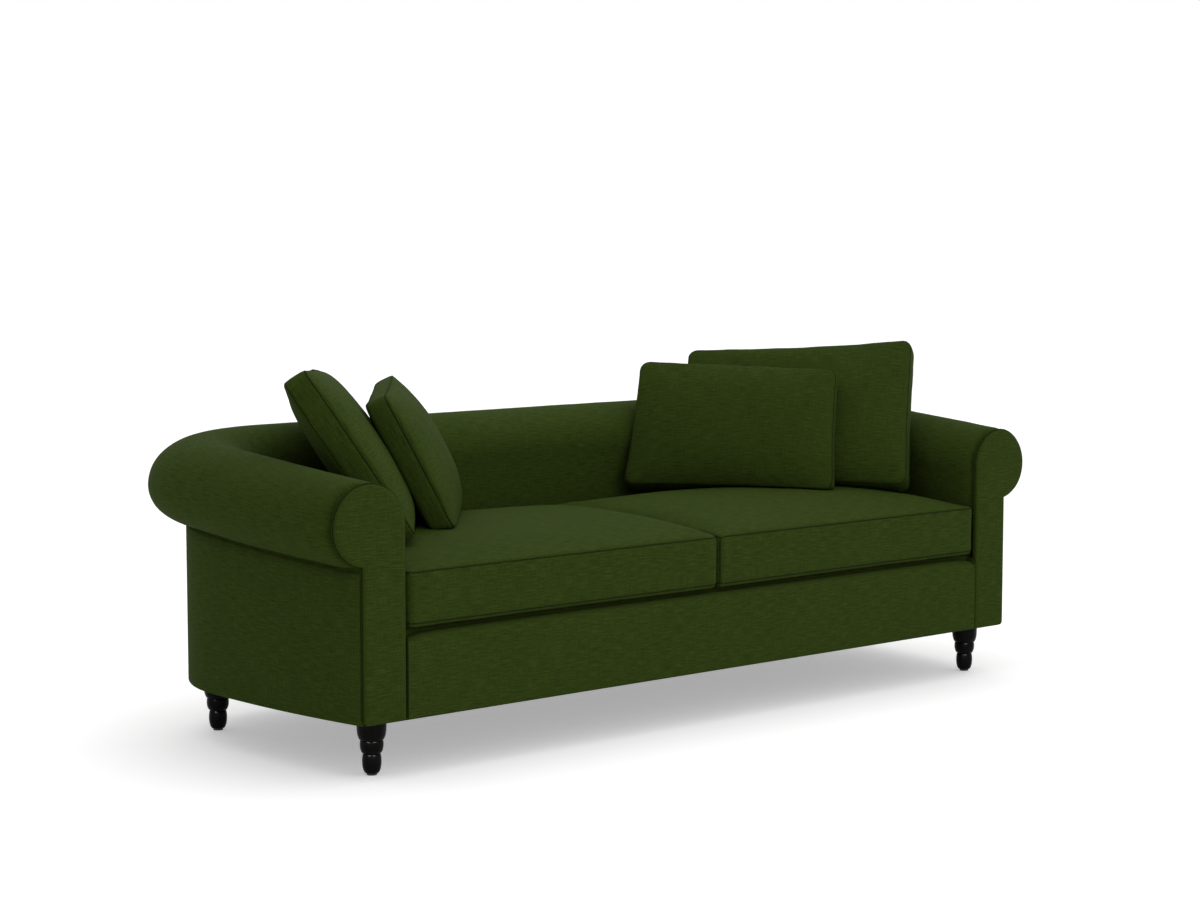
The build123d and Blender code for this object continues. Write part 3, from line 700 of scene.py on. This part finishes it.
# %% Form of the right cushion
cushion_low, cushion_seam, cushion_crown, split_crown = 0.3384, 0.4660, 0.056, 0.0395
cushion_near, cushion_far, cushion_in, cushion_out = front + 0.001, seat_far, 0.0018, 0.9468
hem_up = 0.008
cushion_hem, band = cushion_low + hem_up, cushion_seam - cushion_low - hem_up


def cushion_plan():
    split, outer, rear = 0.010, 0.018, 0.012
    points = arc((cushion_in + split, cushion_near + split), split, 180, 270, 5)
    points += arc((cushion_out - outer, cushion_near + outer), outer, 270, 360, 8)
    points += arc((cushion_out - seat_round, cushion_far - seat_round), seat_round, 0, 90, 24)
    points += arc((cushion_in + rear, cushion_far - rear), rear, 90, 180, 6)
    return even(points, 240)


cushion_line = cushion_plan()
cushion_middle = Vector(((cushion_in + cushion_out) / 2, (cushion_near + cushion_far) / 2))


def dome(p, less):
    """Height over the seam: full by the split, falling to the arm, round along every side."""
    u = min(1.0, max(0.0, (p.x - cushion_in) / (cushion_out - cushion_in)))
    v = (p.y - cushion_middle.y) / (cushion_far - cushion_near) * 2
    full = split_crown + (cushion_crown - split_crown) * math.sin(math.pi / 2 * min(1.0, u / 0.55))
    height = full * (1 - u ** 18) * (1 - 0.14 * u) * max(0.0, 1 - abs(v) ** 2.3) ** 0.626
    edge = min(1.0, (p.x - cushion_in) / 0.045)
    return height * (1 - less / cushion_crown) * math.sqrt(max(0.0, 1 - (1 - edge) ** 2))


def cushion_ring(scale, z=None, inset=0.0, less=0.0):
    ring = []
    for p in cushion_line:
        q = cushion_middle + (p - cushion_middle) * scale
        q -= (q - cushion_middle).normalized() * inset
        ring.append(Vector((q.x, q.y, z if z is not None else cushion_seam + dome(q, less))))
    return ring


less = 0.010
boxing = [(0.5 * (1 - math.cos(math.pi * i / 10))) for i in range(11)]
dome_scales = (0.995, 0.985, 0.97, 0.95, 0.91, 0.86, 0.8, 0.72, 0.62, 0.5, 0.36, 0.2, 0.05)
rings = [cushion_ring(scale, cushion_low) for scale in (0.03, 0.5, 0.9)]
rings += [cushion_ring(1.0, cushion_low, 0.006)]
rings += [cushion_ring(1.0, cushion_hem + band * part) for part in boxing]
rings += [cushion_ring(scale, None, 0, less) for scale in dome_scales]
cushion = draw_out("seat_cushion_cover_right", rings)
cushion_seams = [cushion_ring(1.0, cushion_seam), cushion_ring(1.0, cushion_hem)]
swell(cushion, 0.010, cushion_seams, 0.012)
print(cushion.name, len(cushion.data.vertices), "points")


# %% Keep it in its place, then sew its seams
def keep_cushion(co):
    co.x = min(max(co.x, cushion_in), cushion_out)
    co.y = min(max(co.y, front), cushion_far)
    co.z = max(co.z, cushion_low)
    turn_x, turn_y = cushion_out - seat_round, cushion_far - seat_round
    beside = Vector((co.x, co.y)) - Vector((turn_x, turn_y))
    if beside.x > 0 and beside.y > 0 and beside.length > seat_round:
        beside = beside.normalized() * seat_round
        co.x, co.y = turn_x + beside.x, turn_y + beside.y


def dress_both(pieces, kind):
    """The first piece is a cover, the others are its seams. All get a mirrored copy on the left."""
    for piece in pieces:
        other = left_copy(piece, piece.name.replace("right", "left"))
        for side, made in (("right", piece), ("left", other)):
            body = kind + "_" + side
            if piece is pieces[0]:
                dress(made, olive, body, "upholstery", body)
            else:
                # seam cords take the darker cloth, painted shade of the seam's groove
                dress(made, seam_olive_painted_shade, body, "upholstery")


uneven(smoothed(cushion), 0.004)
for vertex in cushion.data.vertices:
    keep_cushion(vertex.co)
draw_in(cushion, cushion_seams, 0.0030, 0.006)
panel_cloth(cushion)
cushion_skin = surface(cushion)
corner_inset = 0.0029
corner = (cushion_in + corner_inset, cushion_near + corner_inset)
corner_seam = [Vector((*corner, cushion_hem + band * i / 30)) for i in range(31)]
cushion_cords = [
    sewn_line("cushion_top_seam_right", onto(cushion_skin, cushion_seams[0]), 0.0020),
    sewn_line("cushion_bottom_seam_right", onto(cushion_skin, cushion_seams[1]), 0.0020),
    sewn_line("cushion_corner_seam_right", onto(cushion_skin, corner_seam), 0.0014, False)]
dress_both([cushion] + cushion_cords, "seat_cushion")

# %% [markdown]
# ## The four pillows
# Two large pillows lean in the corners with a small one before each. They are boxed too: two
# domed panels and a band between them, with sides that pull in between the corners. They are
# made lying flat, swollen, and only then turned into place and pressed onto what carries them.


# %% Form of a pillow, lying flat
def pillow_outline(wide, high, draw, flare, skew, sag, count=200):
    """Sides drawn in; flare widens the foot, skew slants the top edge, sag lowers the foot."""
    radius, end_draw, points = 0.032, 0.006, []
    for sx, sy, start in ((1, -1, 270), (1, 1, 0), (-1, 1, 90), (-1, -1, 180)):
        centre = (sx * (wide / 2 - radius), sy * (high / 2 - radius))
        points += arc(centre, radius, start, start + 90, 8)
    out = []
    for p in even(points, count):
        x, y = 2 * p.x / wide, 2 * p.y / high
        q = Vector((p.x - x * end_draw * (1 - y * y), p.y - y * draw * (1 - x * x)))
        lowered = q.y - skew * x * max(0.0, y) + sag * min(0.0, y)
        out.append(Vector((q.x * (1 - flare * y), lowered)))
    return out


def make_pillow(name, wide, high, box, crowns, draw, flare=0.0, skew=0.0, sag=0.0):
    crown_front, crown_back = crowns
    line = pillow_outline(wide, high, draw, flare, skew, sag)
    less = 0.008

    def ring(scale, z, crown=0.0):
        made = []
        for p in line:
            q = p * scale
            shares = q.x / wide, q.y / high
            height = math.prod(max(0.0, 1 - abs(2 * v) ** 2.4) ** 0.6 for v in shares)
            made.append(Vector((q.x, q.y, z + crown * height)))
        return made

    scales = (0.985, 0.96, 0.92, 0.86, 0.78, 0.68, 0.55, 0.4, 0.24, 0.06)
    rings = [ring(s, -box / 2, -max(0.002, crown_back - less)) for s in reversed(scales)]
    rings += [ring(1.0, -box / 2), ring(1.004, -box / 4), ring(1.006, 0)]
    rings += [ring(1.004, box / 4), ring(1.0, box / 2)]
    rings += [ring(s, box / 2, crown_front - less) for s in scales]
    pillow = draw_out(name, rings)
    seams = [ring(1.0, box / 2), ring(1.0, -box / 2)]
    swell(pillow, 0.007, seams, 0.014)
    uneven(smoothed(pillow), 0.006)
    draw_in(pillow, seams, 0.0026, 0.005)
    panel_cloth(pillow)
    return pillow, seams


print("pillow form ready")


# %% Where a pillow stands
def pillow_place(foot, high, box, turn, lean, tilt):
    turn, lean, tilt = (math.radians(v) for v in (turn, lean, tilt))
    along = Vector((math.cos(turn), -math.sin(turn), 0))
    faces = Vector((-math.sin(turn), -math.cos(turn), 0))
    up = Vector((0, 0, 1))
    normal = faces * math.cos(lean) + up * math.sin(lean)
    rise = up * math.cos(lean) - faces * math.sin(lean)
    centre = Vector(foot) + rise * high / 2 - normal * box / 2
    turned = Matrix((along, rise, normal)).transposed().to_4x4() @ Matrix.Rotation(tilt, 4, "Z")
    return Matrix.Translation(centre) @ turned, normal


def corners(piece):
    places = np.empty(3 * len(piece.data.vertices))
    piece.data.vertices.foreach_get("co", places)
    return places.reshape(-1, 3)


def ease(piece, before, rounds):
    """Spread the pressing over the cloth beside it."""
    ends = np.empty(2 * len(piece.data.edges), dtype=np.int32)
    piece.data.edges.foreach_get("vertices", ends)
    first, second = ends.reshape(-1, 2).T
    moved = corners(piece) - before
    share = np.bincount(ends, minlength=len(moved))[:, None]
    for _ in range(rounds):
        total = np.zeros_like(moved)
        np.add.at(total, first, moved[second])
        np.add.at(total, second, moved[first])
        moved = 0.5 * moved + 0.5 * total / share
    piece.data.vertices.foreach_set("co", (before + moved).ravel())


def press(piece, seat, wall, neighbour, way):
    clear, reach, behind, above = 0.001, 0.06, 0.4, 1.5
    for vertex in piece.data.vertices:
        co = vertex.co
        place, normal, _, gap = wall.find_nearest(co)
        if gap < reach and (co - place).dot(normal) < clear:
            co += normal * (clear - (co - place).dot(normal))
        if neighbour:
            hit = neighbour.ray_cast(co + way * behind, -way, 2 * behind)[0]
            if hit and (hit - co).dot(way) > -clear:
                co += way * ((hit - co).dot(way) + clear)
        hit = seat.ray_cast(Vector((co.x, co.y, above)), Vector((0, 0, -1)))[0]
        if hit and co.z < hit.z + clear:
            co.z = hit.z + clear


def rest_on(piece, seat, wall, neighbour=None, way=None):
    """Press a pillow off the seat, the wall and its neighbour, 1 mm clear of them."""
    before = corners(piece)
    press(piece, seat, wall, neighbour, way)
    ease(piece, before, 40)
    press(piece, seat, wall, neighbour, way)


print("places and pressing ready")


# %% Make both sizes, place them, and copy them to the left
def set_down(made, place, neighbour=None, way=None):
    pillow, loops = made
    pillow.data.transform(place)
    rest_on(pillow, cushion_skin, roll_skin, neighbour, way)
    skin, cords = surface(pillow), []
    for side, loop in zip(("front", "back"), loops):
        name = pillow.name.replace("cover", side + "_seam")
        cords.append(sewn_line(name, onto(skin, [place @ p for p in loop]), 0.0019))
    return [pillow] + cords, skin


roll_skin = surface(roll)
large_size, small_size = (0.651, 0.456, 0.057), (0.571, 0.371, 0.052)  # wide, high, band
large_place, large_faces = pillow_place((0.632, -0.0765, 0.512), *large_size[1:],
                                        turn=57, lean=33.5, tilt=4.2)
small_place, _ = pillow_place((0.460, -0.0315, 0.514), *small_size[1:],
                              turn=51.6, lean=27.5, tilt=-0.4)
large_made = make_pillow("large_pillow_cover_right", *large_size, (0.062, 0.042), draw=0.016,
                         sag=0.010)
large, large_skin = set_down(large_made, large_place)
small_made = make_pillow("small_pillow_cover_right", *small_size, (0.056, 0.026), draw=0.004,
                         flare=0.022, skew=0.007)
small, _ = set_down(small_made, small_place, large_skin, large_faces)
dress_both(large, "large_pillow")
dress_both(small, "small_pillow")

# %% [markdown]
# ## The legs
# Four short legs, turned on a lathe: three beads that grow towards the top. A circle is drawn up
# through the profile, which gives the same result as a spin and closes both ends.

# %% Turn one leg and copy it
leg_points = [(0.0040, 0.0130), (0.0310, 0.0222), (0.0495, 0.0188), (0.0710, 0.0272),
              (0.0805, 0.0250), (0.1120, 0.0341), (0.1288, 0.0338)]


def leg_profile(count=12):
    out = []
    for (z0, r0), (z1, r1) in zip(leg_points, leg_points[1:]):
        for i in range(count):
            t = (i / count) ** 2 if r1 > r0 else 1 - (1 - i / count) ** 2
            rise = math.sqrt(1 - (1 - t) ** 2) if r1 > r0 else 1 - math.sqrt(1 - t * t)
            out.append((z0 + (z1 - z0) * t, r0 + (r1 - r0) * rise))
    return out + [leg_points[-1]]


def leg_ring(z, radius):
    turns = [math.pi * i / 24 for i in range(48)]
    return [Vector((radius * math.cos(turn), radius * math.sin(turn), z)) for turn in turns]


leg = draw_out("turned_leg", [leg_ring(z, r) for z, r in leg_profile()])
smoothed(leg, 0, sharp=50)
for node, x, y in (("front_left_leg", -0.998, -0.4205), ("front_right_leg", 0.998, -0.4205),
                   ("rear_left_leg", -1.006, 0.2275), ("rear_right_leg", 1.006, 0.2275)):
    copy = leg.copy()
    copy.data = leg.data.copy()
    copy.name = copy.data.name = "turned_" + node
    bpy.context.collection.objects.link(copy)
    copy.data.transform(Matrix.Translation((x, y, 0)))
    dress(copy, lacquer, "sofa_frame", "leg_finish", node)
bpy.data.objects.remove(leg)

# %% [markdown]
# ## The dust cloth
# A black cloth closes the underside, stapled to the frame along its edge. It is stretched, but it
# still sags by a few millimetres in the middle, so a flat plate would look wrong from below.

# %% Stretch the dust cloth
under_inset, under_sag, under_low, under_high = 0.012, 0.004, 0.1288, 0.1297
under_line = even([s[0] + s[1] * (s[2] - under_inset) for s in whole_line], 220)
under_middle = Vector((0.0, -0.05))


def under_ring(scale, z):
    spots = [under_middle + (p - under_middle) * scale for p in under_line]
    return [Vector((q.x, q.y, z - under_sag * (1 - scale ** 2) ** 2)) for q in spots]


under_scales = (0.03, 0.2, 0.4, 0.6, 0.8, 0.93, 1.0)
dust = draw_out("dust_cloth_sheet", [under_ring(scale, under_low) for scale in under_scales]
                + [under_ring(scale, under_high) for scale in reversed(under_scales)])
smoothed(dust, 0)
dress(dust, black_cloth, "sofa_frame", "dust_cloth", "dust_cover")

# %% [markdown]
# ## What stays from the CAD model
# Rails, ribs, boards, webbing, bolts and glides have the right shape already. They only need a
# finish, which goes into the material slots of their objects.

# %% Finish the CAD nodes that stay
for name, node in frame["nodes"].items():
    if node.hide_render:
        continue
    finish = timber
    for part, stuff in (("webbing", webbing), ("bolts", steel), ("nuts", steel), ("glides", plastic)):
        if part in name:
            finish = stuff
    node.data.materials.clear()
    node.data.materials.append(finish)
print("CAD nodes shown:", sorted(n for n, o in frame["nodes"].items() if not o.hide_render))

# %% [markdown]
# ## Floor, light and camera
# The photo is a studio shot on white with a soft shadow. A large white floor keeps the shadow, the
# world is white to the camera and a plain soft light to everything else. One wide lamp hangs above
# and a weak one fills from the front. Two more light nothing but the shine of the legs, because
# lacquer looks glossy only where it mirrors something bright. The camera stands where the photo was
# taken from, low at the sofa's left front corner.

# %% Floor
def seen_plainly(recipe):
    """1 for what the camera sees, directly, in a shine or through glass, and 0 for other light."""
    camera, shine, clear = (recipe.node("ShaderNodeLightPath", None, None, "Is %s Ray" % kind)
                            for kind in ("Camera", "Glossy", "Transmission"))
    return camera.sum("MAXIMUM", camera.sum("MAXIMUM", camera, shine), clear)


bpy.ops.object.select_all(action="DESELECT")
bpy.ops.mesh.primitive_plane_add(size=60)
floor = bpy.context.object
floor.name = "studio_floor"
paper = Recipe("studio_paper")
speck = paper.streaks(paper.node("ShaderNodeTexCoord", None, None, "Object"), (40, 40, 40))
matte = paper.node("ShaderNodeBsdfDiffuse", None, {
    "Color": paper.mix(speck, (0.89, 0.89, 0.89, 1), (0.91, 0.91, 0.91, 1))})
glow = paper.node("ShaderNodeEmission", None, {"Strength": seen_plainly(paper) * 0.36})
paper.node("ShaderNodeOutputMaterial", None, {
    "Surface": paper.node("ShaderNodeAddShader", None, {0: matte, 1: glow})})
floor.data.materials.append(paper.material)
print("floor", tuple(floor.dimensions))

# %% World and lamps
world = bpy.data.worlds.new("studio")
bpy.context.scene.world = world
air = Recipe("studio", world)
way = air.node("ShaderNodeTexCoord", None, None, "Generated")
side = air.node("ShaderNodeVectorMath", {"operation": "DOT_PRODUCT"},
                {0: way, 1: (0.50, 0.10, 0.20)}, "Value")
soft_light = 0.70 + side
sky = air.node("ShaderNodeBackground", None, {
    "Color": (1, 1, 1, 1), "Strength": soft_light + seen_plainly(air) * (1 - soft_light)})
air.node("ShaderNodeOutputWorld", None, {"Surface": sky})


def lamp(name, place, aim, size, power):
    light = bpy.data.lights.new(name, "AREA")
    light.shape, light.size, light.size_y, light.energy = "RECTANGLE", size[0], size[1], power
    held = bpy.data.objects.new(name, light)
    bpy.context.collection.objects.link(held)
    held.location = place
    held.rotation_euler = (Vector(aim) - Vector(place)).to_track_quat("-Z", "Y").to_euler()
    return held


lamp("overhead", (-0.3, 0.3, 3.4), (0, -0.05, 0.4), (4.0, 2.6), 22)
lamp("front_fill", (1.2, -4.2, 2.2), (0.0, 0.0, 0.4), (3.0, 2.0), 8)
shiny = bpy.data.collections.new("shiny_legs")
for piece in bpy.context.scene.objects:
    if piece.name.startswith("turned_"):
        shiny.objects.link(piece)
for name, place in (("shine_left", (-3.8, -1.6, 2.1)), ("shine_right", (-1.1, -3.9, 2.1))):
    box = lamp(name, place, (-0.5, -0.4, 0.1), (1.8, 1.2), 500)
    box.visible_diffuse = False
    box.light_linking.receiver_collection = shiny
print("lamps set")

# %% Camera
eye = bpy.data.objects.new("camera", bpy.data.cameras.new("camera"))
bpy.context.collection.objects.link(eye)
eye.data.lens, eye.data.sensor_width = 75, 36
eye.data.clip_end = 200
eye.location = (-4.18521, -5.01656, 1.28013)
eye.rotation_euler = (math.radians(90 - 5.5488), 0, math.radians(-40.0435))
bpy.context.scene.camera = eye
bpy.context.scene.view_settings.view_transform = "Standard"
print("camera at", tuple(eye.location))
